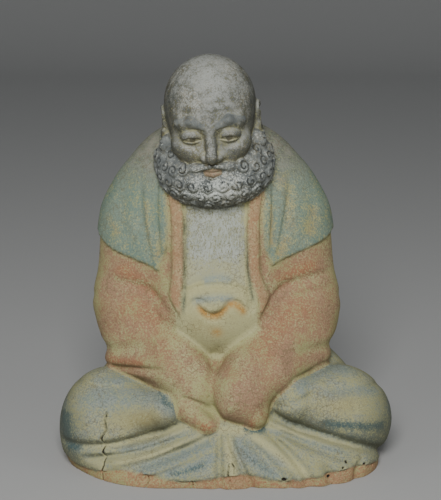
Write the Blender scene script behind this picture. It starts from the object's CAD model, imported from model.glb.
import math

import bmesh
import bpy
import numpy as np
from mathutils import Euler, Matrix, Vector


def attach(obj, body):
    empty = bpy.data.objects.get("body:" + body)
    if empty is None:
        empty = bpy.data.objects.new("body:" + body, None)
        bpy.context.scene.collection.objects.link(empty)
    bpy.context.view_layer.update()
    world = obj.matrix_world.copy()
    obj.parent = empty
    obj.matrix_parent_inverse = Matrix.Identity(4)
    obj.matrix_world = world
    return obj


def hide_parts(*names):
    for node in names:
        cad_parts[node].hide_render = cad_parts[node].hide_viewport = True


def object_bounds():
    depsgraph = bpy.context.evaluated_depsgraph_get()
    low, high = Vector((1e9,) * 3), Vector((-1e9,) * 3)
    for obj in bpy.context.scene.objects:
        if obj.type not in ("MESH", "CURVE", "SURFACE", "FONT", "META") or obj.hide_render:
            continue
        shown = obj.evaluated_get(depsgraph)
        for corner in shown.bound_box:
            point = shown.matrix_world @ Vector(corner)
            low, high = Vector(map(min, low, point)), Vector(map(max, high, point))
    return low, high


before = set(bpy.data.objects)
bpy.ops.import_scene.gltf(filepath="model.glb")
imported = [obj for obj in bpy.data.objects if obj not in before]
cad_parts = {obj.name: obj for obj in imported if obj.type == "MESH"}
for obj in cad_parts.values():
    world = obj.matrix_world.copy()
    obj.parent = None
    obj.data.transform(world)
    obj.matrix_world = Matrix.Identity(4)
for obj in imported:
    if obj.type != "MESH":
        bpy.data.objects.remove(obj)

cad_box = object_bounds()

# The body and its sleeves: a heavy old figure that leans a little, its hands tucked into wide sleeves that
# cross in its lap. It is all cut from one block of wood, so its skin is one signed distance that blends
# the forms. They are drawn in units of which the crown is 319.4 high, with x and y from the block's axis.

crown = 319.4
middle = (-0.4, -2.9)
unit = (cad_box[1].z - cad_box[0].z) / crown
millimetre = 0.001 / unit
lean = -8.5
lean_rise = 60.0
wrap_radius = 80.0
wrap_back = 10.0
fold = 3.6 * millimetre

# An argument p is points, q the points stood upright, m the mirrored ones, h those in the head's own
# frame, and flat the points of a plane drawing: across or round the figure, and up.


def ball(p, centre, radii):
    """Signed distance to an ellipsoid, true near its skin."""
    q = (p - np.asarray(centre, float)) / np.asarray(radii, float)
    k0 = np.sqrt((q ** 2).sum(1))
    k1 = np.sqrt(((q / np.asarray(radii, float)) ** 2).sum(1)) + 1e-9
    return k0 * (k0 - 1.0) / k1


def limb(p, a, b, ra, rb):
    """Signed distance to a round limb that tapers from radius ra at a to rb at b."""
    a, b = np.asarray(a, float), np.asarray(b, float)
    along = b - a
    t = np.clip(((p - a) @ along) / (along @ along), 0.0, 1.0)
    return np.linalg.norm(p - a - t[:, None] * along, axis=1) - (ra + (rb - ra) * t)


def join(a, b, k):
    """Both forms, with the inner corner between them filled to a round of size k."""
    h = np.maximum(k - np.abs(a - b), 0.0) / k
    return np.minimum(a, b) - h * h * k * 0.25


def mirrored(p):
    """The points folded onto the side of positive x, for forms that both sides share."""
    q = p.copy()
    q[:, 0] = np.abs(q[:, 0])
    return q


def upright(p):
    """The points with the body's lean taken out, so that its two sides match."""
    q = p.copy()
    q[:, 0] -= lean * (1.0 - np.exp(-np.maximum(p[:, 2], 0.0) / lean_rise))
    return q


def wrapped(p):
    """Points unrolled from a cylinder: the way round from the front, and the height."""
    return np.column_stack((wrap_radius * np.arctan2(p[:, 0], wrap_back - p[:, 1]), p[:, 2]))


def torso(q):
    chest = ball(q, (0, 12, 184), (66, 50, 70))
    belly = ball(q, (0, 4, 126), (64, 57, 60))
    hips = ball(q, (0, 28, 48), (88, 56, 62))
    back = ball(q, (0, 26, 112), (82, 50, 92))
    shoulders = ball(q, (0, 10, 170), (89.5, 51, 91))
    hump = ball(q, (-1, 17, 233), (50, 39, 28))
    body = join(chest, belly, 14)
    body = join(body, join(hips, back, 20), 20)
    return join(join(body, shoulders, 8), hump, 16)


def upper_arms(q):
    m = mirrored(q)
    arm = limb(m, (57, 7, 186), (62, 2, 122), 30, 34.5)
    elbow = limb(m, (62, 2, 122), (57, 3, 88), 34.5, 33)
    return join(arm, elbow, 6)


def left_sleeve(q):
    fore = limb(q, (-60, -4, 108), (-21, -48, 63), 33, 19)
    drape = limb(q, (-64, -14, 88), (-34, -46, 78), 27, 17)
    lap = limb(q, (-34, -36, 92), (-9, -54, 66), 19, 14)
    cuff = limb(q, (-25, -58, 53), (-10, -68, 44), 11.5, 9.0)
    return join(join(join(fore, drape, 5), lap, 8), cuff, 4)


def right_sleeve(q):
    fore = limb(q, (60, -4, 108), (19, -57, 68), 33, 23)
    drape = limb(q, (64, -14, 92), (40, -48, 80), 27, 20)
    cuff = limb(q, (14, -63, 60), (26, -66, 50), 18, 11)
    return join(join(fore, drape, 5), cuff, 7)


# Each fold is a curve's start, pull and end on the unrolled cloth, and its width and depth.
sleeve_folds = (
    ((-98, 143), (-78, 146), (-50, 124), 4.4, 0.62),
    ((-98, 132), (-84, 139), (-64, 128), 4.2, 0.40),
    ((104, 148), (86, 151), (52, 128), 4.2, 0.70),
    ((104, 136), (88, 141), (66, 129), 4.2, 0.40),
    ((-142, 80), (-98, 88), (-58, 98), 6.0, 1.10),
    ((-104, 73), (-78, 79), (-44, 83), 2.2, 0.95),
    ((-90, 66), (-70, 71), (-52, 70), 3.0, 0.30),
    ((142, 84), (100, 94), (54, 93), 6.0, 0.95),
    ((108, 74), (82, 78), (56, 74), 2.2, 0.50),
    ((1, 97), (-15, 72), (2, 42), 3.2, 0.45),
    ((-66, 112), (-40, 104), (-20, 80), 5.5, 0.35),
    ((64, 114), (42, 98), (20, 66), 5.5, 0.35),
    ((-28, 63), (-14, 61), (-4, 48), 1.8, 0.90),
    ((26, 60), (32, 54), (34, 46), 3.0, 0.35),
    ((112, 130), (130, 118), (150, 92), 4.0, 0.40),
    ((-112, 130), (-130, 118), (-150, 92), 4.0, 0.40),
    ((150, 150), (176, 110), (190, 66), 5.0, 0.45),
    ((-150, 150), (-176, 110), (-190, 66), 5.0, 0.45),
)


# The crossed legs under the robe: two round knees, a fan of folds that runs out from where the hands
# lie, and a wavy hem with the under-robe's pink edge below it. All of it is in the same block.

robe_rise = 1.3 * millimetre
leg_fold = 4.5 * millimetre
hem_height = 8.0
hem_wave = 2.6
hem_wave_length = 58.0


def knees(p):
    left = join(ball(p, (-92, -24, 26), (38, 38, 45)), limb(p, (-84, -30, 37), (-48, -54, 49), 31, 15), 14)
    right = join(ball(p, (92, -22, 32), (37.5, 38, 37)), limb(p, (82, -29, 42), (52, -46, 54), 31, 20), 16)
    return join(left, ball(p, (-86, -29, 12), (35, 42, 34)), 12), right


def under_knees(p):
    m, n = mirrored(p), mirrored(p - np.array((2.0, 0.0, 0.0)))
    thigh = limb(m, (80, -8, 36), (50, 26, 44), 34, 39)
    roll = limb(m, (62, 6, 56), (54, 14, 52), 29, 33)
    hem = ball(n, (46, -34, 3), (72, 57, 36))
    apron = ball(p, (0, -49, 2), (48, 44, 38))
    fan = limb(m, (0, -59, 27), (34, -56, 27), 18, 18)
    seat = limb(m, (54, 32, 12), (0, 36, 12), 46, 50)
    lap = ball(p, (0, -14, 42), (72, 52, 42))
    under = join(join(hem, apron, 10), fan, 10)
    low = join(join(under, lap, 10), join(thigh, roll, 12), 12)
    return join(low, seat, 16)


def legs(p):
    left, right = knees(p)
    return join(under_knees(p), np.minimum(left, right), 3.0)


leg_folds = (
    ((-96, 20), (-60, 25), (-28, 45), 3.0, 0.85),
    ((-76, 15), (-50, 22), (-24, 40), 2.6, 0.80),
    ((-60, 10), (-40, 19), (-6, 38), 3.6, 0.95),
    ((-50, 5), (-30, 12), (-12, 24), 3.0, 0.45),
    ((-5, 40), (-4, 22), (-4, -6), 2.4, 0.80),
    ((1, 40), (7, 22), (18, -6), 2.4, 0.80),
    ((14, 34), (26, 22), (33, 6), 3.2, 0.60),
    ((26, 41), (43, 28), (47, -4), 3.2, 0.95),
    ((26, 43), (48, 32), (72, 13), 3.0, 0.75),
    ((33, 50), (60, 35), (100, 8), 3.2, 1.00),
    ((54, 16), (57, 8), (57, -4), 2.8, 0.70),
    ((74, 14), (71, 8), (70, -4), 2.8, 0.65),
    ((36, 11), (37, 4), (36, -4), 2.0, 0.50),
    ((-106, 62), (-70, 70), (-34, 58), 2.6, 0.30),
    ((112, 56), (76, 74), (40, 56), 2.6, 0.35),
    ((118, 20), (150, 38), (188, 20), 3.6, 0.60),
    ((-128, 26), (-156, 38), (-188, 20), 3.6, 0.60),
    ((124, 12), (160, 20), (214, 10), 3.2, 0.45),
    ((-134, 12), (-166, 20), (-214, 10), 3.2, 0.45),
    ((196, 60), (214, 34), (210, 6), 5.0, 0.45),
    ((-196, 60), (-214, 34), (-210, 6), 5.0, 0.45),
)


def hem_edge(flat):
    """How far above the robe's wavy hem a point lies."""
    return flat[:, 1] - hem_height - hem_wave * np.sin(flat[:, 0] * 2 * math.pi / hem_wave_length + 0.8)


# The short mantle over the shoulders, the two collar bands of the robe, and the bare chest and belly
# between them, with a ledge across the stomach and a fold under it. Each stands a little proud in the wood.

mantle_rise = 2.7 * millimetre
mantle_tip = 155.0
mantle_side = 178.0
mantle_back = 158.0
mantle_dip, mantle_climb = 58.0, 60.0
mantle_skew = 2.5
mantle_opening = 53.0
mantle_flare = 8.0
mantle_folds = (
    ((-72, 224), (-62, 190), (-59, 160), 3.0, 0.80),
    ((-86, 220), (-75, 188), (-66, 160), 3.6, 0.65),
    ((-98, 208), (-92, 190), (-84, 174), 4.6, 0.30),
    ((72, 224), (60, 190), (59, 164), 3.0, 0.80),
    ((88, 222), (72, 194), (64, 164), 3.6, 0.65),
    ((102, 210), (94, 190), (86, 176), 4.6, 0.30),
    ((150, 226), (158, 200), (160, 168), 5.0, 0.35),
    ((-150, 226), (-158, 200), (-160, 168), 5.0, 0.35),
    ((206, 232), (212, 196), (206, 162), 5.0, 0.35),
    ((-206, 232), (-212, 196), (-206, 162), 5.0, 0.35),
)
lapel_rise = 3.0 * millimetre
lapel_middle = 28.6
lapel_half = 4.8
lapel_end = 121.0
lapel_slant = 1.7
lapel_top_flare, left_flare, right_flare = 3.0, 3.0, 9.0
chest_sunk = 1.6
panel_half = 22.0
panel_bottom = 152.0
panel_arch = 6.0
belly_strokes = (
    ((-24, 142), (0, 153), (24, 142), 1.8, 0.85),
    ((-23, 136), (0, 147), (23, 137), 1.7, 0.22),
    ((-22, 129), (-14, 142), (-6, 132), 2.0, 0.70),
    ((-16, 134), (-2, 113), (12, 136), 2.6, 1.15),
    ((6, 132), (14, 141), (24, 126), 2.0, 0.75),
)
lapel_grooves = (
    ((23.0, 228), (22.5, 180), (24.0, 150), 1.6, 0.80),
    ((23.5, 156), (24.0, 146), (27.0, 128), 1.6, 0.80),
    ((36.0, 206), (35.5, 180), (38.0, 150), 1.8, 0.50),
)


def smooth(low, high, x):
    """0 at low, 1 at high, and a soft step between. High may be the lower of the two."""
    t = np.clip((x - low) / (high - low), 0.0, 1.0)
    return t * t * (3.0 - 2.0 * t)


def near_line(flat, start, pull, end, reach):
    """For a quadratic curve: which points lie within reach, how far off they are, and how far along."""
    a, b, c = (np.asarray(v, float) for v in (start, pull, end))
    t = np.linspace(0.0, 1.0, 9)[:, None]
    chain = (1 - t) ** 2 * a + 2 * t * (1 - t) * b + t * t * c
    inside = (flat > chain.min(0) - reach) & (flat < chain.max(0) + reach)
    near = np.flatnonzero(inside.all(1))
    off = np.full(len(near), 1e9)
    along = np.zeros(len(near))
    for i in range(len(chain) - 1):
        away, step = flat[near] - chain[i], chain[i + 1] - chain[i]
        s = np.clip((away @ step) / (step @ step), 0.0, 1.0)
        d = np.sqrt(((away - s[:, None] * step) ** 2).sum(1))
        nearer = d < off
        off[nearer] = d[nearer]
        along[nearer] = (i + s[nearer]) / (len(chain) - 1)
    return near, off, along


def strokes(flat, table, scale):
    """How deep the gouge's strokes go. Each is a curve, a width and a depth, and runs out at both ends."""
    total = np.zeros(len(flat))
    for start, pull, end, width, depth in table:
        near, off, along = near_line(flat, start, pull, end, 2.5 * width)
        ends = np.sqrt(np.clip(np.sin(np.pi * (0.06 + 0.88 * along)), 0.0, 1.0))
        deep = scale * depth * ends * np.exp(-((off / width) ** 2))
        total[near] = np.maximum(total[near], deep)
    return total


def mantle_edge(flat):
    """How far inside the mantle's hem and front edges a point lies."""
    way, height = np.abs(flat[:, 0]), flat[:, 1]
    rise = np.clip((way - mantle_dip) / mantle_climb, 0.0, 1.0) ** 0.8
    hem = mantle_tip + (mantle_side - mantle_tip) * rise
    hem = hem + mantle_skew * np.sign(flat[:, 0]) * (1 - smooth(90, 140, way))
    hem = hem - (mantle_side - mantle_back) * smooth(140, 250, way)
    opening = mantle_opening + mantle_flare * smooth(192, 228, height)
    opening = opening + mantle_flare * smooth(178, 156, height)
    return np.minimum(height - hem, way - opening)


def lapel_edge(q):
    """How far inside a collar band a point lies. Both end in a slant, and one of the two flares."""
    side, height = np.abs(q[:, 0]), q[:, 2]
    flare = np.where(q[:, 0] > 0, right_flare, left_flare) * smooth(160, 130, height)
    centre = lapel_middle + lapel_top_flare * smooth(190, 226, height) + flare
    end = lapel_end + lapel_slant * (side - centre + lapel_half)
    return np.minimum(lapel_half - np.abs(side - centre), (height - end) / math.hypot(1.0, lapel_slant))


def panel_edge(q):
    """How far inside the bare chest's flat panel a point lies."""
    side, height = np.abs(q[:, 0]), q[:, 2]
    return np.minimum(panel_half - side, height - panel_bottom + panel_arch * (side / panel_half) ** 2)


def chest_relief(q):
    """What is raised less what is sunk on the front of the chest and the belly."""
    front = smooth(-6, -20, q[:, 1])
    face = np.column_stack((q[:, 0], q[:, 2]))
    half = np.column_stack((np.abs(q[:, 0]), q[:, 2]))
    raised = lapel_rise * smooth(-1.0, 1.0, lapel_edge(q))
    sunk = chest_sunk * smooth(-1.0, 1.6, panel_edge(q)) * smooth(240, 225, q[:, 2])
    return front * (raised - sunk - strokes(face, belly_strokes, fold) - strokes(half, lapel_grooves, fold))


# The head: bald, bent forward, with long ears. The face is a calm one on plain proportions, with the
# eyes halfway up. It has its own frame, with x across, -y out of the face and z up to the crown.

head_at = np.array((-11.6, -26.0, 273.2))
head_turn = np.array(Euler((math.radians(14), math.radians(-3.5), math.radians(-1.0))).to_matrix())
eye_side = 13.5
eye_height = -0.5
ear_side, ear_lean, ear_half = 34.4, 0.10, 2.4


def cut(a, b, k):
    """Form a with form b cut away, and a round edge of size k."""
    return -join(-a, b, k)


def in_head(p):
    return (p - head_at) @ head_turn


def eyeball(m):
    return ball(m, (eye_side, -30.4, eye_height), (7.4, 6.6, 5.8))


def slit(m):
    """How far inside the almond gap between the lids a point lies."""
    across = (m[:, 0] - eye_side) / 7.6
    return 1.9 * (1.0 - across * across) - np.abs(m[:, 2] - eye_height + 1.5 + 0.9 * across * across)


def eye(m):
    """Half closed: a ball behind an almond gap between two lids."""
    lids = ball(m, (eye_side, -30.7, eye_height), (8.9, 7.7, 7.1))
    return np.minimum(eyeball(m), np.maximum(lids, slit(m) * 0.8))


face_lines = (
    ((4.5, 4.6), (13.5, 8.2), (22.5, 1.5), 0.9, 0.55),
    ((6.0, -7.0), (13.5, -10.6), (22.0, -5.5), 1.4, 0.45),
    ((6.8, -16.0), (12.5, -21.0), (15.0, -26.0), 1.6, 0.70),
    ((-1.0, 17.5), (10.0, 19.2), (21.0, 16.0), 1.3, 0.35),
    ((-1.0, 23.5), (9.0, 25.0), (18.0, 22.0), 1.4, 0.28),
)


def mouth(m):
    upper = limb(m, (0, -39.8, -25.2), (9.5, -36.6, -26.6), 2.2, 1.2)
    lower = limb(m, (0, -39.4, -29.2), (7.5, -37.2, -28.8), 2.6, 1.4)
    return join(upper, lower, 0.7)


def face(h):
    m = mirrored(h)
    skull = ball(h, (0, 5, 10), (34.5, 40, 35))
    front = ball(h, (0, -9, -11), (28.5, 30, 34))
    d = join(skull, front, 12)
    d = join(d, limb(m, (6, -31.5, 6.5), (20, -27.5, 7.5), 4.6, 4.2), 6)
    d = join(d, ball(m, (20.5, -25.5, -10), (9, 8, 6.5)), 8)
    d = join(d, limb(m, (15, -27, -15), (12, -30, -18), 9.0, 7.5), 8)
    d = cut(d, ball(m, (eye_side, -43, eye_height), (10, 9.5, 6.5)), 6)
    d = join(d, eye(m), 1.2)
    bridge = limb(h, (0, -34.6, 7), (0, -44.6, -14), 3.0, 4.4)
    wing = ball(m, (5.2, -40.0, -16), (3.6, 4.6, 3.4))
    nostril = limb(m, (2.9, -43.0, -20.0), (3.6, -39.6, -17.6), 1.3, 1.1)
    d = join(d, cut(join(bridge, wing, 2.6), nostril, 0.6), 3.5)
    lines = strokes(np.column_stack((m[:, 0], h[:, 2])), face_lines, millimetre)
    d = d + lines * smooth(-14, -24, h[:, 1])
    return join(d, mouth(m), 1.8)


def ears(h):
    m = mirrored(h)
    shell = limb(m, (ear_side, 5.5, 1), (34.0, 3.5, -9), 8.0, 6.0)
    shell = np.maximum(shell, np.abs(m[:, 0] - ear_side - ear_lean * m[:, 1]) - ear_half)
    lobe = limb(m, (34.6, 2.5, -11), (34.6, 0.5, -23), 4.0, 4.0)
    d = join(shell, lobe, 4)
    d = cut(d, limb(m, (38.0, 5.6, 0.5), (37.8, 3.6, -9), 4.6, 2.4), 1.2)
    tragus = ball(m, (36.2, -0.6, -7.5), (1.8, 2.0, 2.8))
    return join(d, tragus, 1.5)


# The beard and brows: a full beard of snail curls that runs from ear to ear under the mouth, a
# moustache with a curl at each end, and thick brows. Each curl is a dome with a spiral cut in it.

curl_radius = 5.4 * millimetre
curl_rise = 2.2 * millimetre
curl_turns = 1.5
spiral_depth = 0.9 * millimetre
beard_at = np.array((1.0, -10.0, -38.0))
beard_radii = np.array((43.5, 34.5, 28.0))
beard_round = 38.0
curl_tilts = (-60, -39, -19, 1, 20, 39, 57)
curl_spread = 112.0
curl_pitch = 0.93
curl_stagger = 0.37
bare_half = 25.0
bare_below = -36.0
bare_slope = 0.22
moustache_curl = (21.5, -34.0, -25.5)
hair_pitch = 1.7 * millimetre
hair_depth = 0.28 * millimetre


def brow(m):
    inner = limb(m, (5.0, -34.9, 8.2), (14, -33.2, 11.4), 2.6, 3.3)
    outer = limb(m, (14, -33.2, 11.4), (25, -26.0, 8.2), 3.3, 1.8)
    return join(inner, outer, 2)


def placed_curls():
    """Where the curls sit and which way they face: rows from ear to ear, clear of the face."""
    found = []
    for side in (-1, 1):
        found.append((np.array(moustache_curl) * (side, 1, 1), np.array((side * 0.5, -0.85, 0.1))))
    for row, tilt in enumerate(curl_tilts):
        rise = math.radians(tilt)
        step = 2 * curl_radius * curl_pitch / (beard_round * math.cos(rise))
        count = int(math.radians(curl_spread) / step)
        for k in range(-count - row % 2, count + 1):
            turn = (k + 0.5 * (row % 2)) * step
            level = math.cos(rise)
            way = np.array((math.sin(turn) * level, -math.cos(turn) * level, math.sin(rise)))
            centre = beard_at + beard_radii * way
            bare = bare_half + bare_slope * (centre[2] - bare_below)
            if centre[2] < bare_below or abs(centre[0]) > bare:
                found.append((centre, way / beard_radii))
    return [(centre, out / np.linalg.norm(out)) for centre, out in found]


curls = placed_curls()


def curl_relief(h):
    """How high the snail curls stand, with spirals that turn opposite ways on the two sides, and their
    grooves by themselves."""
    raised, grooves = np.zeros(len(h)), np.zeros(len(h))
    for number, (centre, out) in enumerate(curls):
        near = np.flatnonzero((np.abs(h - centre) < 1.25 * curl_radius).all(1))
        across = np.cross(out, (0.0, 0.0, 1.0))
        across /= np.linalg.norm(across)
        away = h[near] - centre
        x, y = away @ across, away @ np.cross(across, out)
        r = np.sqrt(x * x + y * y) / curl_radius
        hand = 1.0 if centre[0] > 0 else -1.0
        turn = np.arctan2(y, x * hand) / (2 * math.pi)
        groove = (0.5 + 0.5 * np.cos(2 * math.pi * (r * curl_turns - turn + curl_stagger * number))) ** 2
        dome = curl_rise * np.sqrt(np.clip(1.0 - r * r, 0.0, 1.0))
        relief = dome - spiral_depth * groove * smooth(1.0, 0.7, r)
        highest = (r < 1.0) & (relief > raised[near])
        raised[near[highest]] = relief[highest]
        grooves[near[highest]] = groove[highest] * smooth(1.0, 0.75, r[highest])
    return raised, grooves


def combed(a, slant, b):
    """Fine grooves of combed hair, across a slanted line."""
    return hair_depth * (0.5 + 0.5 * np.sin((a + slant * b) * 2 * math.pi / hair_pitch))


def beard(h):
    m = mirrored(h)
    mass = ball(h, beard_at, beard_radii)
    side = limb(m, (33, -8, -16), (34, -1, -30), 6.5, 10)
    mass = cut(join(mass, side, 8), ball(h, (0, -47, -27.5), (13, 9.5, 7)), 3)
    inner = limb(m, (2.0, -41.5, -21.4), (12.5, -38.8, -23.6), 2.2, 3.2)
    tail = limb(m, (12.5, -38.8, -23.6), (21, -34.6, -27), 3.2, 3.0)
    moustache = join(inner, tail, 2) + combed(m[:, 2], 0.35, m[:, 0])
    return join(mass + 0.6 * combed(m[:, 0], 0.6, h[:, 2]), moustache, 1.6)


neck_foot, neck_top = (-9, 4, 226), (-10, -12, 260)
neck_radii = (32, 29)


def neck(p):
    return limb(p, neck_foot, neck_top, *neck_radii)


def head(p):
    h = in_head(p)
    m = mirrored(h)
    d = join(face(h), ears(h), 2.5)
    d = join(d, brow(m) + combed(m[:, 0], -0.7, m[:, 2]), 1.4)
    d = join(d, beard(h), 1.4) - curl_relief(h)[0]
    return join(d, neck(p), 6)


# Age: a crack that runs down one knee with the grain, and short cracks and beetle holes at the hem.
# They are cut into the same skin. Each crack is a chain of points on the unrolled robe.

knee_crack = (
    (-73, 50), (-72.5, 44), (-70.5, 37), (-71.5, 31), (-70.8, 25),
    (-69, 18), (-67, 12), (-67.6, 6), (-67, -2),
)
cracks = (
    knee_crack,
    ((-44, 10), (-43, 5), (-44.5, -2)),
    ((2, 19), (1, 12), (2.6, 5), (2, -2)),
    ((3.6, 19), (5.4, 16), (5.0, 12)),
    ((-20, 6), (-19.4, 2), (-20.6, -2)),
)
crack_width = 0.40
crack_depth = 1.9
hole_edge = 0.3
beetle_holes = (
    ((33, 7.0), 1.15), ((56, 6.5), 1.1), ((66, 15), 0.9),
    ((62.5, 12), 0.7), ((76, 10), 0.8), ((82, 6), 0.7),
)


def along_cracks(flat, reach):
    """For each straight piece of a crack: which points lie within reach, and how far off they are."""
    for chain in cracks:
        for start, end in zip(chain[:-1], chain[1:]):
            yield near_line(flat, start, (np.array(start) + end) / 2, end, reach)[:2]


def crack_gap(flat):
    """How open the cracks are: 1 along their middles and 0 beside them."""
    gap = np.zeros(len(flat))
    for near, off in along_cracks(flat, 3 * crack_width):
        gap[near] = np.maximum(gap[near], np.exp(-((off / crack_width) ** 2)))
    return gap


def hole_gap(flat):
    gap = np.zeros(len(flat))
    for centre, radius in beetle_holes:
        off = np.linalg.norm(flat - np.array(centre), axis=1)
        gap = np.maximum(gap, smooth(radius + hole_edge, radius - hole_edge, off))
    return gap


# The whole skin: the cloth of the upper body, the legs that it rests on, and the head over both.

beard_reach = beard_radii[2] - beard_at[2] + 12.0


def body(p):
    q = upright(p)
    way_q, way_p = wrapped(q), wrapped(p)
    over = smooth(-0.6, 0.7, mantle_edge(way_q))
    cloth = join(torso(q) - chest_relief(q), upper_arms(q), 6)
    cloth = join(join(cloth, left_sleeve(q), 5), right_sleeve(q), 7)
    cut_in = strokes(way_q, sleeve_folds, fold) * (1 - over) + strokes(way_q, mantle_folds, fold) * over
    cloth = cloth + cut_in - mantle_rise * over
    robe = robe_rise * smooth(-0.5, 0.6, hem_edge(way_p))
    damage = np.maximum(crack_gap(way_p), hole_gap(way_p)) * crack_depth * smooth(0, -20, p[:, 1])
    low = legs(p) + strokes(way_p, leg_folds, leg_fold) - robe + damage
    return join(cloth, low, 2.5)


def skin(p):
    """Signed distance to the carved figure, in carver's units."""
    d = np.full(len(p), 1e3)
    low = np.flatnonzero(p[:, 2] < head_at[2])
    high = np.flatnonzero(p[:, 2] > head_at[2] - beard_reach)
    d[low] = body(p[low])
    d[high] = join(d[high], head(p[high]), 2.5)
    return d


# The carving: a rough block of balls is given even faces, and then its points are pulled onto the
# skin. The front, the head and the cracks get finer faces. Below, the block is sawn off flat.

rough_balls = (
    ((-8, 12, 186), (68, 50, 72)), ((-7, 6, 124), (66, 58, 62)), ((0, 30, 50), (90, 56, 62)),
    ((0, 0, 46), (100, 70, 42)), ((-8, 10, 172), (92, 52, 90)), ((-10, -16, 282), (36, 42, 38)),
    ((-9, -26, 246), (42, 36, 32)), ((-88, -24, 36), (42, 44, 40)), ((88, -24, 36), (42, 44, 40)),
    ((-68, 0, 112), (34, 38, 56)), ((56, 0, 112), (34, 38, 56)), ((0, -45, 66), (50, 42, 40)),
    ((0, -46, 14), (90, 42, 30)), ((0, 34, 14), (92, 50, 40)), ((-48, -22, 270), (4, 8, 18)),
    ((27, -22, 268), (4, 8, 18)), ((-12, -62, 256), (9, 14, 17)),
)
voxels = (5.0, 4.2, 3.5)
rounds = 3
front_reach, head_reach, last_reach = 2.0, 1.0, 0.6
evening = 0.6
head_zone = (50.0, 54.0, 50.0)
crack_zone, hole_zone = 2.4, 3.2


def rough_block():
    bm = bmesh.new()
    for centre, radii in rough_balls:
        made = bmesh.ops.create_icosphere(bm, subdivisions=4, radius=1.0)
        bmesh.ops.scale(bm, vec=Vector(radii), verts=made["verts"])
        bmesh.ops.translate(bm, vec=Vector(centre), verts=made["verts"])
    mesh = bpy.data.meshes.new("arhat")
    bm.to_mesh(mesh)
    bm.free()
    return bpy.data.objects.new("arhat", mesh)


def slope(field, p, step=0.2):
    """The field's gradient, from four samples round each point."""
    total = np.zeros_like(p)
    for corner in ((1, -1, -1), (-1, -1, 1), (-1, 1, -1), (1, 1, 1)):
        total += np.array(corner, float) * field(p + np.array(corner) * step)[:, None]
    return total / (4.0 * step)


def values_of(mesh, kind):
    """Every vertex's place, which is its "co", or its "normal"."""
    found = np.empty(len(mesh.vertices) * 3, np.float32)
    mesh.vertices.foreach_get(kind, found)
    return found.reshape(-1, 3).astype(float)


def pull_to_skin(mesh, reach):
    """Moves every vertex onto the skin, at most reach a round, and evens their spacing along it."""
    p = values_of(mesh, "co")
    ends = np.empty(len(mesh.edges) * 2, np.int32)
    mesh.edges.foreach_get("vertices", ends)
    one, two = ends[0::2], ends[1::2]
    count = np.bincount(ends, minlength=len(p))[:, None]
    for turn in range(rounds):
        g = slope(skin, p)
        out = g / np.maximum(np.linalg.norm(g, axis=1), 1e-6)[:, None]
        beside = np.column_stack([
            np.bincount(one, p[two, k], len(p)) + np.bincount(two, p[one, k], len(p)) for k in range(3)
        ])
        drift = beside / count - p
        drift -= (drift * out).sum(1)[:, None] * out
        move = -(skin(p) / np.maximum((g * g).sum(1), 0.3))[:, None] * g
        length = np.linalg.norm(move, axis=1)
        p += move * np.minimum(1.0, reach / np.maximum(length, 1e-9))[:, None]
        if turn < rounds - 1:
            p += evening * drift
    mesh.vertices.foreach_set("co", p.astype(np.float32).ravel())
    mesh.update()


def even_faces(obj, voxel):
    remesh = obj.modifiers.new("even_faces", "REMESH")
    remesh.mode = "VOXEL"
    remesh.voxel_size = voxel
    bpy.context.view_layer.update()
    graph = bpy.context.evaluated_depsgraph_get()
    obj.data = bpy.data.meshes.new_from_object(obj.evaluated_get(graph))
    obj.modifiers.clear()


def finer(mesh, chosen):
    """Halves the edges that have both ends among the chosen points, and splits their faces."""
    keep = chosen(values_of(mesh, "co"))
    bm = bmesh.new()
    bm.from_mesh(mesh)
    edges = [e for e in bm.edges if keep[e.verts[0].index] and keep[e.verts[1].index]]
    bmesh.ops.subdivide_edges(bm, edges=edges, cuts=1, use_grid_fill=True)
    bm.to_mesh(mesh)
    bm.free()


def in_front(p):
    return (p[:, 1] < 6.0) & (p[:, 2] > -4.0)


def on_head(p):
    h = in_head(p)
    near = np.linalg.norm(h / head_zone, axis=1) < 1.0
    near |= ball(h, beard_at, beard_radii + 6.0) < 0
    return near & (h[:, 1] < 14.0) & (h[:, 2] < 34.0)


def on_face(p):
    h = in_head(p)
    return (h[:, 1] < -24.0) & (h[:, 2] > -33.0) & (h[:, 2] < 15.0) & (np.abs(h[:, 0]) < 26.0)


def about_damage(p):
    flat = wrapped(p)
    hit = np.zeros(len(p), bool)
    for near, off in along_cracks(flat, 4.0):
        hit[near[off < crack_zone]] = True
    for centre, _ in beetle_holes:
        hit |= np.linalg.norm(flat - np.array(centre), axis=1) < hole_zone
    return hit & (p[:, 1] < -20)


def flat_underside(mesh):
    """Saws the block off at its foot and closes it, with a sharp rim."""
    bm = bmesh.new()
    bm.from_mesh(mesh)
    whole = bm.verts[:] + bm.edges[:] + bm.faces[:]
    bmesh.ops.bisect_plane(
        bm, geom=whole, dist=1e-4, plane_co=(0, 0, 0), plane_no=(0, 0, 1), clear_inner=True
    )
    bmesh.ops.triangle_fill(bm, edges=[e for e in bm.edges if e.is_boundary], use_beauty=True)
    bmesh.ops.dissolve_degenerate(bm, edges=bm.edges[:], dist=1e-3)
    bmesh.ops.triangulate(bm, faces=bm.faces[:])
    bmesh.ops.recalc_face_normals(bm, faces=bm.faces[:])
    for f in bm.faces:
        f.smooth = f.calc_center_median().z > 1e-3
    for e in bm.edges:
        e.smooth = e.link_faces[0].smooth == e.link_faces[1].smooth
    bm.to_mesh(mesh)
    bm.free()


arhat = rough_block()
bpy.context.scene.collection.objects.link(arhat)
for voxel in voxels:
    even_faces(arhat, voxel)
    pull_to_skin(arhat.data, voxel)
pull_to_skin(arhat.data, voxels[-1])
finer(arhat.data, lambda p: in_front(p) | on_head(p))
pull_to_skin(arhat.data, front_reach)
finer(arhat.data, on_head)
pull_to_skin(arhat.data, head_reach)
finer(arhat.data, on_face)
finer(arhat.data, about_damage)
finer(arhat.data, about_damage)
pull_to_skin(arhat.data, last_reach)
flat_underside(arhat.data)

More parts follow.
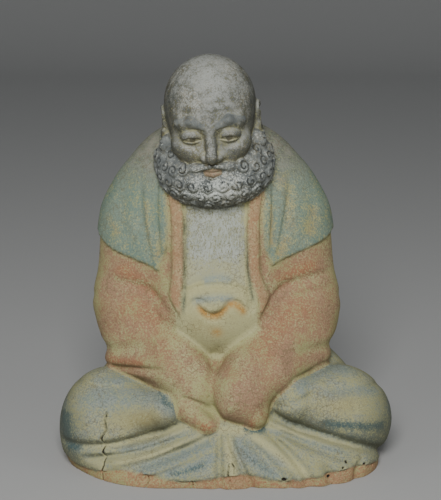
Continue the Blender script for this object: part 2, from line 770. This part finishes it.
# The paint: thin mineral colours over a yellow ground, rubbed thin and finely speckled. Where each
# colour lies is worked out from the carving and kept on the mesh as marks, which the material breaks up.


def patch(flat, centre, radii, turn=0.0):
    """A soft round patch: 1 in its middle."""
    c, s = math.cos(math.radians(turn)), math.sin(math.radians(turn))
    away = flat - np.array(centre, float)
    x = (away[:, 0] * c + away[:, 1] * s) / radii[0]
    z = (away[:, 1] * c - away[:, 0] * s) / radii[1]
    return np.exp(-(x * x + z * z))


def streaks(flat, table):
    """Soft bands of a colour. Each is a curve, a width and how strong it is."""
    total = np.zeros(len(flat))
    for start, pull, end, width, strength in table:
        near, off, along = near_line(flat, start, pull, end, 2.5 * width)
        ends = smooth(-0.02, 0.15, along) * smooth(1.02, 0.85, along)
        total[near] = np.maximum(total[near], strength * ends * np.exp(-((off / width) ** 2)))
    return total


sleeve_pale = (
    ((-60, 152), (-46, 136), (-14, 100), 6.0, 0.9),
    ((58, 152), (44, 132), (8, 102), 6.0, 0.9),
    ((-104, 92), (-84, 92), (-60, 97), 6.0, 0.8),
    ((104, 92), (84, 97), (60, 96), 5.0, 0.7),
    ((-98, 145), (-74, 148), (-50, 134), 3.0, 0.5),
    ((98, 148), (76, 150), (54, 138), 3.0, 0.7),
    ((-22, 92), (-14, 72), (-8, 44), 10.0, 0.9),
    ((-64, 88), (-36, 74), (-14, 50), 9.0, 0.8),
    ((104, 80), (76, 82), (46, 74), 5.0, 0.6),
    ((40, 118), (24, 104), (10, 84), 8.0, 0.6),
    ((44, 72), (32, 54), (22, 44), 6.0, 0.6),
    ((-60, 116), (-40, 108), (-22, 88), 7.0, 0.6),
    ((4, 84), (2, 70), (8, 54), 6.0, 0.7),
)
sleeve_red = (
    ((-92, 158), (-84, 148), (-62, 134), 6.0, 0.8),
    ((94, 160), (84, 152), (62, 142), 6.0, 0.9),
    ((-88, 128), (-60, 122), (-34, 98), 9.0, 0.5),
    ((88, 128), (60, 120), (30, 92), 9.0, 0.5),
    ((-96, 80), (-78, 84), (-56, 86), 3.5, 0.8),
    ((52, 66), (38, 62), (28, 50), 4.0, 0.6),
    ((-18, 45), (-12, 42), (-5, 44), 4.5, 1.2),
    ((20, 44), (27, 47), (36, 53), 4.5, 1.2),
)
mantle_ochre = (
    ((-76, 212), (-71, 190), (-68, 172), 2.6, 0.7),
    ((-104, 196), (-98, 186), (-90, 180), 3.0, 0.6),
    ((-60, 186), (-61, 174), (-62, 162), 3.0, 0.7),
    ((64, 210), (60, 190), (60, 172), 3.5, 1.0),
    ((82, 214), (78, 200), (76, 182), 5.0, 0.8),
    ((100, 204), (96, 192), (88, 178), 6.0, 0.7),
    ((74, 184), (70, 172), (64, 166), 5.0, 0.9),
    ((66, 236), (76, 224), (88, 210), 8.0, 0.6),
)
robe_blue = (
    ((-92, 70), (-52, 73), (-30, 44), 4.0, 1.0),
    ((-26, 40), (-42, 30), (-66, 22), 2.6, 0.9),
    ((-8, 34), (-28, 24), (-52, 11), 4.5, 1.0),
    ((-6, 26), (-18, 12), (-38, 12), 4.0, 0.9),
    ((4, 36), (14, 22), (32, 6), 4.5, 1.0),
    ((10, 34), (26, 30), (36, 16), 4.5, 0.9),
    ((28, 40), (50, 33), (70, 20), 2.0, 0.9),
    ((42, 44), (66, 36), (96, 14), 4.0, 0.9),
    ((66, 60), (80, 68), (98, 58), 4.5, 0.8),
    ((48, 66), (72, 80), (102, 74), 3.0, 0.9),
    ((100, 50), (108, 36), (102, 20), 9.0, 0.8),
    ((-100, 52), (-104, 36), (-96, 18), 8.0, 0.7),
    ((-62, 40), (-52, 36), (-38, 44), 4.0, 0.5),
    ((-88, 62), (-74, 56), (-50, 62), 9.0, 0.75),
    ((-96, 46), (-90, 28), (-78, 10), 8.0, 0.6),
)
robe_khaki = (
    ((1, 38), (3, 20), (6, -2), 3.0, 1.0),
    ((-10, 38), (-34, 27), (-66, 14), 3.0, 0.9),
    ((-22, 44), (-50, 30), (-90, 20), 2.5, 0.7),
    ((14, 38), (34, 28), (48, 4), 3.5, 1.0),
    ((28, 43), (56, 35), (86, 16), 2.6, 0.8),
    ((-64, 12), (-76, 8), (-92, 8), 5.0, 0.8),
    ((-14, 42), (2, 40), (16, 40), 3.0, 1.0),
)
robe_dark = (
    ((60, 43), (74, 40), (94, 33), 3.8, 1.0),
    ((-96, 46), (-94, 30), (-84, 14), 7.0, 1.1),
    ((-78, 74), (-52, 69), (-32, 50), 1.6, 0.7),
    ((-12, 20), (-20, 12), (-34, 11), 1.8, 0.7),
    ((12, 43), (20, 39), (30, 41), 3.0, 1.2),
    ((8, 30), (16, 20), (28, 10), 1.6, 0.4),
    ((56, 76), (72, 81), (88, 78), 1.4, 0.7),
)
belly_orange = (
    ((-15, 133), (-2, 114), (10, 134), 2.2, 1.0),
    ((8, 131), (14, 138), (23, 124), 2.4, 0.9),
)
belly_grey = (
    ((-11, 149), (1, 155), (13, 150), 3.0, 1.0),
    ((-20, 134), (-2, 141), (16, 136), 3.2, 1.0),
)
chest_shade = (
    ((-23, 204), (-22.5, 160), (-25.5, 122), 1.5, 1.0),
    ((23, 188), (23.5, 152), (29, 132), 1.3, 0.9),
)
belly_half = 31.0
iris_radius = 2.3
outside = -6.0
hollow_reach = 2.5
deep_reach = 7.0


def cloth_marks(p, q, found):
    """Where the robe, the mantle, the bare chest and their colours lie."""
    way_q, way_p = wrapped(q), wrapped(p)
    front_q = np.column_stack((q[:, 0], q[:, 2]))
    front = smooth(-8, -24, p[:, 1])
    facing = front > 0.5
    chest = torso(q) - chest_relief(q)
    arm = np.minimum(upper_arms(q), np.minimum(left_sleeve(q), right_sleeve(q)))
    found["mantle"] = np.clip(mantle_edge(way_q), -12, 12)
    found["lapel"] = np.where(facing, lapel_edge(q), outside)
    found["panel"] = np.where(facing, panel_edge(q), outside)
    found["thin"] = smooth(174, 157, q[:, 2])
    found["belly"] = np.where(facing, np.minimum(arm - chest, belly_half - np.abs(q[:, 0])), outside)
    found["robe"] = np.clip(np.minimum(chest, arm) - legs(p), -12, 12)
    found["hem"] = -hem_edge(way_p)
    found["side"] = smooth(92, 116, np.abs(way_q[:, 0])) * smooth(150, 124, np.abs(way_q[:, 0]))
    found["neck"] = smooth(200, 236, q[:, 2] - 0.10 * np.abs(way_q[:, 0]))
    found["pale"] = streaks(way_q, sleeve_pale)
    found["red"] = streaks(way_q, sleeve_red)
    found["rust"] = streaks(way_q, mantle_ochre)
    found["blue"] = streaks(way_p, robe_blue)
    found["khaki"] = streaks(way_p, robe_khaki)
    found["dark"] = streaks(way_p, robe_dark)
    found["ochre"] = np.maximum.reduce((
        patch(way_p, (-56, 46), (13, 8), 15),
        0.7 * patch(way_p, (72, 56), (12, 7), 10),
        0.8 * patch(front_q, (0, 124), (16, 4)) * front,
        0.6 * patch(front_q, (-12, 115), (11, 8)) * front,
    ))
    low_spot = 0.8 * patch(front_q, (0, 111), (4, 3.5))
    found["orange"] = np.maximum(streaks(front_q, belly_orange), low_spot) * front
    found["grey"] = streaks(front_q, belly_grey) * front
    found["shade"] = streaks(front_q, chest_shade) * front
    found["crack"] = np.maximum(crack_gap(way_p), hole_gap(way_p)) * smooth(0, -20, p[:, 1])


def head_marks(p, found):
    """Where the head, its hair, the lips and the eyes lie."""
    h = in_head(p)
    m = mirrored(h)
    bare = np.minimum(face(h), ears(h))
    above = body(p) - np.minimum(np.minimum(bare, beard(h)), neck(p))
    raised, grooves = curl_relief(h)
    hair = np.minimum(beard(h) - raised, brow(m) - 0.9)
    found["head"] = np.clip(above + 1.0, -6, 6)
    found["hair"] = np.where(above > -1.0, np.clip(bare - hair, outside, 6), outside)
    under_chin = patch(h[:, [0, 2]], (3, -41), (25, 12)) * smooth(-10, -30, h[:, 1])
    found["dust"] = under_chin - 0.4 * smooth(-4, 4, h[:, 2])
    found["groove"] = grooves
    from_iris = np.hypot(m[:, 0] - eye_side, m[:, 2] - eye_height + 1.2)
    found["lips"] = np.where(h[:, 1] < -30, np.minimum(face(h) + 0.3, beard(h)) - mouth(m) - 0.15, outside)
    found["white"] = np.where(h[:, 1] < -25, slit(m), outside)
    found["iris"] = np.where(h[:, 1] < -30, iris_radius - from_iris, outside)


def marks(mesh):
    """What the material reads, for each vertex: how far inside an area it lies, or a share of a colour."""
    p, n = values_of(mesh, "co"), values_of(mesh, "normal")
    found = {}
    cloth_marks(p, upright(p), found)
    head_marks(p, found)
    found["hollow"] = 1.0 - np.clip(skin(p + n * hollow_reach) / hollow_reach, 0, 1)
    found["deep"] = 1.0 - np.clip(skin(p + n * deep_reach) / deep_reach, 0, 1)
    found["ridge"] = 1.0 - np.clip(-skin(p - n * hollow_reach) / hollow_reach, 0, 1)
    found["open"] = 0.6 * np.abs(n[:, 1]) + 0.8 * n[:, 2]
    found["up"] = n[:, 2]
    return found


for name, values in marks(arhat.data).items():
    layer = arhat.data.attributes.new(name, "FLOAT", "POINT")
    layer.data.foreach_set("value", values.astype(np.float32))

paint = bpy.data.materials.new("aged_paint")
paint.use_nodes = True
nodes, links = paint.node_tree.nodes, paint.node_tree.links
shader = nodes["Principled BSDF"]
place = nodes.new("ShaderNodeTexCoord").outputs["Object"]


def mark(name):
    node = nodes.new("ShaderNodeAttribute")
    node.attribute_name = name
    return node.outputs["Fac"]


def feed(socket, value):
    """Joins a node's output to a socket, or sets the socket to a plain value."""
    if isinstance(value, bpy.types.NodeSocket):
        links.new(value, socket)
    else:
        socket.default_value = value


def sum_of(kind, a, b=0.0, c=0.0):
    node = nodes.new("ShaderNodeMath")
    node.operation = kind
    for socket, value in zip(node.inputs, (a, b, c)):
        feed(socket, value)
    return node.outputs[0]


def noise(size, detail=2.0, rough=0.5, stretch=(1, 1, 1), shift=0.0):
    """Cloudy noise about 0, with features of the given size in metres."""
    spot = nodes.new("ShaderNodeMapping")
    spot.inputs["Scale"].default_value = stretch
    spot.inputs["Location"].default_value = (shift, shift * 0.7, shift * 1.3)
    links.new(place, spot.inputs["Vector"])
    cloud = nodes.new("ShaderNodeTexNoise")
    cloud.inputs["Scale"].default_value = 1.0 / size
    cloud.inputs["Detail"].default_value = detail
    cloud.inputs["Roughness"].default_value = rough
    links.new(spot.outputs[0], cloud.inputs["Vector"])
    return sum_of("SUBTRACT", cloud.outputs["Fac"], 0.5)


def step_between(low, high, value):
    """0 below low and 1 above high, with a soft step between."""
    node = nodes.new("ShaderNodeMapRange")
    node.interpolation_type = "SMOOTHSTEP"
    feed(node.inputs["Value"], value)
    node.inputs["From Min"].default_value = low
    node.inputs["From Max"].default_value = high
    return node.outputs[0]


def over(share, below, above):
    """The colour above laid over the colour below, by a share from 0 to 1."""
    node = nodes.new("ShaderNodeMix")
    node.data_type = "RGBA"
    feed(node.inputs["Factor"], share)
    for socket, colour in ((node.inputs["A"], below), (node.inputs["B"], above)):
        feed(socket, colour if isinstance(colour, bpy.types.NodeSocket) else (*colour, 1.0))
    return node.outputs["Result"]


def times(*values):
    total = values[0]
    for value in values[1:]:
        total = sum_of("MULTIPLY", total, value)
    return total


def plus(start, *pairs):
    """A start with shares of other values added: plus(a, (b, 0.5), (c, -2))."""
    total = start
    for value, share in pairs:
        total = sum_of("MULTIPLY_ADD", value, share, total)
    return total


def tint(red, green, blue):
    """A colour as the eye counts it, 0 to 255, turned to the shader's linear values."""
    return tuple(((v / 255 + 0.055) / 1.055) ** 2.4 for v in (red, green, blue))


craze_size, craze_wave, craze_bend = 0.0042, 0.004, 0.003
paint_roughness, paint_gloss = 0.82, 0.25
bump_depth, bump_strength = 0.0008, 0.6
cloud_large = noise(0.022, 3.0, 0.55)
cloud_middle = noise(0.007, 3.0, 0.6, shift=3.0)
speckle = noise(0.0014, 2.0, 0.75, shift=7.0)
grain = noise(0.0009, 1.0, 0.6, shift=11.0)
hollow, deep, ridge = mark("hollow"), mark("deep"), mark("ridge")
open_side, up = mark("open"), mark("up")


def zone(name, wobble=1.6, soft=0.8):
    """Where a painted area lies, with a hand-drawn edge."""
    return step_between(-soft, soft, plus(mark(name), (cloud_middle, wobble), (speckle, 1.5)))


def cover(amount, spread=0.45, fine=2.6, coarse=1.0):
    """How much of a paint is left: amount is about the share of it that shows."""
    return step_between(0.5 - spread, 0.5 + spread, plus(amount, (speckle, fine), (cloud_middle, coarse)))


def tones(low, high, cloud=cloud_large, width=0.16):
    """A paint that drifts between two tones."""
    return over(step_between(-width, width, cloud), low, high)


def edge_of(name, reach):
    """1 at the edge of an area and 0 from reach units inside it."""
    return step_between(reach, 0.0, mark(name))


# The yellow ground, flecked, and the sleeves' pink, which is worn off it along the folds.
ground = tones(tint(161, 159, 111), tint(175, 173, 127))
ground = over(step_between(0.02, 0.20, speckle), ground, tint(187, 185, 143))
ground = over(times(step_between(0.02, 0.15, grain), 0.6), ground, tint(138, 122, 76))

pink = over(mark("red"), tones(tint(152, 116, 90), tint(160, 128, 102)), tint(156, 104, 76))
worn = plus(0.76, (mark("pale"), -0.55), (hollow, -0.3), (mark("side"), -0.4), (cloud_large, 1.3))
for name, reach, share in (("mantle", 7.0, -0.35), ("belly", 6.0, -0.40), ("robe", 7.0, -0.35)):
    worn = plus(worn, (step_between(-reach, 0.0, mark(name)), share))
colour = over(cover(worn), ground, pink)

# The mantle: green over rust, bare along its edge and grey where it meets the neck.
green = tones(tint(104, 128, 118), tint(124, 142, 128))
green = over(times(step_between(0.15, 0.6, hollow), 0.6), green, tint(84, 110, 104))
green_left = plus(0.80, (mark("rust"), -0.50), (ridge, -0.20), (cloud_large, 1.2))
green_left = plus(green_left, (edge_of("mantle", 4.0), -0.25))
rust = over(cover(plus(mark("rust"), (cloud_middle, 1.5))), ground, tint(154, 140, 98))
cloth = over(cover(green_left), rust, green)
cloth = over(times(edge_of("mantle", 1.8), 0.5), cloth, tint(172, 168, 124))
dusk = tones(tint(104, 106, 97), tint(144, 142, 128), cloud_middle, 0.2)
cloth = over(times(mark("neck"), cover(0.80)), cloth, dusk)
colour = over(zone("mantle"), colour, cloth)

# The bare belly, the red collar bands and the chest's pale, crackled panel.
colour = over(zone("belly"), colour, over(0.5, ground, tint(190, 186, 142)))
band = tones(tint(162, 122, 90), tint(170, 140, 106))
band_left = plus(0.80, (ridge, -0.25), (edge_of("lapel", 2.5), -0.35), (cloud_large, 1.0))
colour = over(times(zone("lapel", 1.0), cover(band_left)), colour, band)
crackle = noise(0.0019, 2.0, 0.6, stretch=(1.0, 1.0, 0.28), shift=5.0)
chest = tones(tint(160, 166, 156), tint(176, 181, 172), cloud_middle)
chest = over(step_between(0.040, 0.012, sum_of("ABSOLUTE", crackle)), chest, tint(136, 136, 104))
panel_left = plus(0.92, (edge_of("panel", 6.0), -0.45), (mark("thin"), -0.75), (cloud_large, 0.8))
colour = over(times(zone("panel"), 0.8), colour, tones(tint(158, 158, 128), tint(170, 170, 138)))
colour = over(times(zone("panel"), cover(panel_left)), colour, chest)
colour = over(times(mark("grey"), cover(0.8)), colour, tint(142, 152, 142))
colour = over(times(mark("shade"), cover(0.85)), colour, tint(84, 94, 80))

# The robe over the legs, blue-grey and khaki by turns, and the pink hem of the under-robe.
blue = tones(tint(128, 140, 130), tint(150, 158, 148), cloud_middle)
blue_left = plus(0.36, (mark("blue"), 0.55), (mark("ochre"), -0.40), (hollow, -0.5), (cloud_large, 1.2))
robe = over(cover(blue_left), over(0.25, ground, tint(140, 142, 120)), blue)
robe = over(times(mark("blue"), cover(0.60), 0.7), robe, tint(114, 128, 125))
robe = over(times(mark("khaki"), cover(0.85)), robe, tint(182, 178, 134))
robe = over(cover(times(mark("dark"), 0.85), 0.5, 1.8), robe, tint(66, 90, 94))
robe = over(times(step_between(0.88, 0.26, open_side), cover(0.85), 0.78), robe, tint(86, 92, 82))
robe = over(times(step_between(0.4, 0.9, hollow), 0.4), robe, tint(112, 104, 72))
hem = over(cover(plus(0.62, (cloud_large, 1.6))), ground, tones(tint(160, 112, 84), tint(168, 130, 98)))
robe = over(zone("hem", 7.0, 1.2), robe, hem)
colour = over(zone("robe", 0.4, 0.4), colour, robe)

# Ochre and orange stains.
colour = over(times(mark("ochre"), cover(0.62), 0.75), colour, tint(152, 138, 88))
colour = over(times(mark("orange"), cover(0.90)), colour, tint(180, 132, 62))

# The head: slate with pale dust where it faces up or forward. Then the hair, the lips and the eyes.
dusty = step_between(0.30, 1.20, plus(open_side, (cloud_middle, 1.2), (speckle, 2.0)))
slate = over(dusty, tones(tint(70, 72, 68), tint(94, 96, 90), cloud_middle), tint(164, 166, 160))
slate = over(times(cover(plus(0.14, (cloud_large, 2.0)), 0.30), dusty), slate, tint(192, 194, 186))
slate = over(times(cover(plus(0.16, (deep, 0.3))), 0.6), slate, tint(84, 84, 76))
slate_left = cover(plus(1.0, (hollow, -0.8), (deep, -0.35)))
head_area = zone("head", 3.0, 1.6)
colour = over(head_area, colour, tones(tint(138, 136, 104), tint(156, 154, 122), cloud_middle))
colour = over(times(head_area, slate_left), colour, slate)
hair = tones(tint(96, 100, 98), tint(124, 128, 124), cloud_middle)
hair = over(step_between(0.35, 0.85, hollow), hair, tint(54, 56, 54))
hair = over(times(step_between(0.3, 0.9, mark("groove")), 0.85), hair, tint(46, 49, 49))
chalk = plus(0.06, (ridge, 0.40), (mark("dust"), 0.75), (hollow, -0.3), (cloud_large, 0.8))
chalk = plus(chalk, (mark("groove"), -0.35))
hair = over(cover(chalk, 0.30, 3.2), hair, tint(196, 200, 192))
colour = over(zone("hair", 1.0, 0.3), colour, hair)
colour = over(times(zone("lips", 0.3, 0.15), 0.85), colour, tint(166, 138, 112))
colour = over(times(zone("white", 0.3, 0.15), 0.85), colour, tint(178, 176, 148))
colour = over(times(zone("white", 0.3, 0.15), zone("iris", 0.3, 0.2), 0.85), colour, tint(70, 68, 62))

# Age: dirt in the hollows and underneath, crazed paint, grime, pits and open cracks.
colour = over(times(step_between(0.35, 0.95, hollow), 0.22), colour, tint(122, 116, 78))
colour = over(times(step_between(0.0, -0.8, up), 0.4), colour, tint(92, 92, 72))
waves = nodes.new("ShaderNodeTexNoise")
waves.inputs["Scale"].default_value = 1.0 / craze_wave
links.new(place, waves.inputs["Vector"])
bent = nodes.new("ShaderNodeVectorMath")
bent.operation = "MULTIPLY_ADD"
for socket, value in zip(bent.inputs, (waves.outputs["Color"], (craze_bend,) * 3, place)):
    feed(socket, value)
lines = nodes.new("ShaderNodeTexVoronoi")
lines.feature = "DISTANCE_TO_EDGE"
lines.inputs["Scale"].default_value = 1.0 / craze_size
links.new(bent.outputs[0], lines.inputs["Vector"])
craze = step_between(0.075, 0.02, lines.outputs["Distance"])
craze = times(craze, step_between(-0.10, 0.16, plus(cloud_large, (speckle, 0.6))))
colour = over(times(craze, 0.52), colour, tint(108, 98, 66))
colour = over(times(cover(plus(0.08, (cloud_large, 1.2))), 0.4), colour, tint(112, 104, 78))
pits = step_between(0.18, 0.24, noise(0.0030, 2.0, 0.5, shift=17.0))
colour = over(times(pits, 0.4), colour, tint(86, 80, 58))
colour = over(step_between(0.25, 0.7, mark("crack")), colour, tint(40, 36, 30))
feed(shader.inputs["Base Color"], colour)
feed(shader.inputs["Roughness"], plus(paint_roughness, (speckle, 0.3)))
shader.inputs["Specular IOR Level"].default_value = paint_gloss

relief = plus(0.0, (speckle, 1.0), (grain, 0.7), (pits, -0.35), (cloud_middle, 0.5))
height = nodes.new("ShaderNodeBump")
height.inputs["Strength"].default_value = bump_strength
height.inputs["Distance"].default_value = bump_depth
feed(height.inputs["Height"], relief)
links.new(height.outputs["Normal"], shader.inputs["Normal"])

arhat.data.materials.clear()
arhat.data.materials.append(paint)
arhat.data.transform(Matrix.Translation((-middle[0], -middle[1], 0.0)))
arhat.data.transform(Matrix.Scale(unit, 4))
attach(arhat, "root")
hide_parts("arhat_figure")

# The floor: a plain pale sheet that curves up behind the figure. It lies a hair below the figure's foot,
# so that the two faces don't fight.

floor_width, floor_front, floor_back = 8.0, 3.0, 2.0
floor_sweep, sweep_steps, floor_rise = 0.8, 12, 3.0
floor_gap = 0.0002
floor_colour = (0.42, 0.42, 0.41, 1.0)
bm = bmesh.new()
ends = [bm.verts.new((side * floor_width / 2, -floor_front, -floor_gap)) for side in (-1, 1)]
rim = [bm.edges.new(ends)]


def run_out(edges, way):
    """Carries the sheet on from its far edges, and gives back the new far edges."""
    made = bmesh.ops.extrude_edge_only(bm, edges=edges)["geom"]
    bmesh.ops.translate(bm, vec=way, verts=[v for v in made if isinstance(v, bmesh.types.BMVert)])
    new = [e for e in made if isinstance(e, bmesh.types.BMEdge) and len(e.link_faces) == 1]
    return [e for e in new if all(v in made for v in e.verts)]


rim = run_out(rim, Vector((0, floor_front + floor_back, 0)))
for step in range(sweep_steps):
    turn = math.radians(90 * (step + 0.5) / sweep_steps)
    length = floor_sweep * math.radians(90) / sweep_steps
    rim = run_out(rim, Vector((0, math.cos(turn), math.sin(turn))) * length)
run_out(rim, Vector((0, 0, floor_rise)))
mesh = bpy.data.meshes.new("floor")
bm.to_mesh(mesh)
bm.free()
mesh.shade_smooth()
floor = bpy.data.objects.new("floor", mesh)
bpy.context.scene.collection.objects.link(floor)
pale = bpy.data.materials.new("pale_floor")
pale.use_nodes = True
sheet = pale.node_tree.nodes["Principled BSDF"]
sheet.inputs["Base Color"].default_value = floor_colour
sheet.inputs["Roughness"].default_value = 0.9
floor.data.materials.append(pale)

# The light: one large soft lamp above the camera and a weak one at each side, with a little even light
# from all round.

lamp_aim = Vector((0, 0, 0.15))
world_colour, world_strength = (0.9, 0.95, 1.0, 1.0), 0.16


def lamp(name, place, energy, size):
    data = bpy.data.lights.new(name, "AREA")
    data.energy, data.size = energy, size
    obj = bpy.data.objects.new(name, data)
    bpy.context.scene.collection.objects.link(obj)
    obj.location = place
    obj.rotation_euler = (lamp_aim - Vector(place)).to_track_quat("-Z", "Y").to_euler()


lamp("key_lamp", (-0.1, -1.55, 1.2), 34.0, 0.7)
lamp("left_lamp", (-1.6, -0.9, 0.8), 3.0, 0.8)
lamp("right_lamp", (1.6, -0.9, 0.8), 3.0, 0.8)
world = bpy.data.worlds.new("studio")
world.use_nodes = True
glow = world.node_tree.nodes["Background"]
glow.inputs["Color"].default_value = world_colour
glow.inputs["Strength"].default_value = world_strength
bpy.context.scene.world = world

# The camera: in front of the figure at the photograph's angle, which looks a little down on it. Its
# focal length is in pixels of a picture 500 high.

camera_rise = math.radians(14.5)
camera_away = 1.300
camera_aim = Vector((-0.0043 - middle[0] * unit, -middle[1] * unit, 0.163))
camera_focus, picture_height = 1655.0, 500.0
sensor = 36.0
back = Vector((0.0, -math.cos(camera_rise), math.sin(camera_rise)))
camera = bpy.data.objects.new("camera", bpy.data.cameras.new("camera"))
bpy.context.scene.collection.objects.link(camera)
camera.location = camera_aim + back * camera_away
camera.rotation_euler = (-back).to_track_quat("-Z", "Y").to_euler()
camera.data.sensor_width = sensor
camera.data.lens = camera_focus / picture_height * sensor
bpy.context.scene.camera = camera
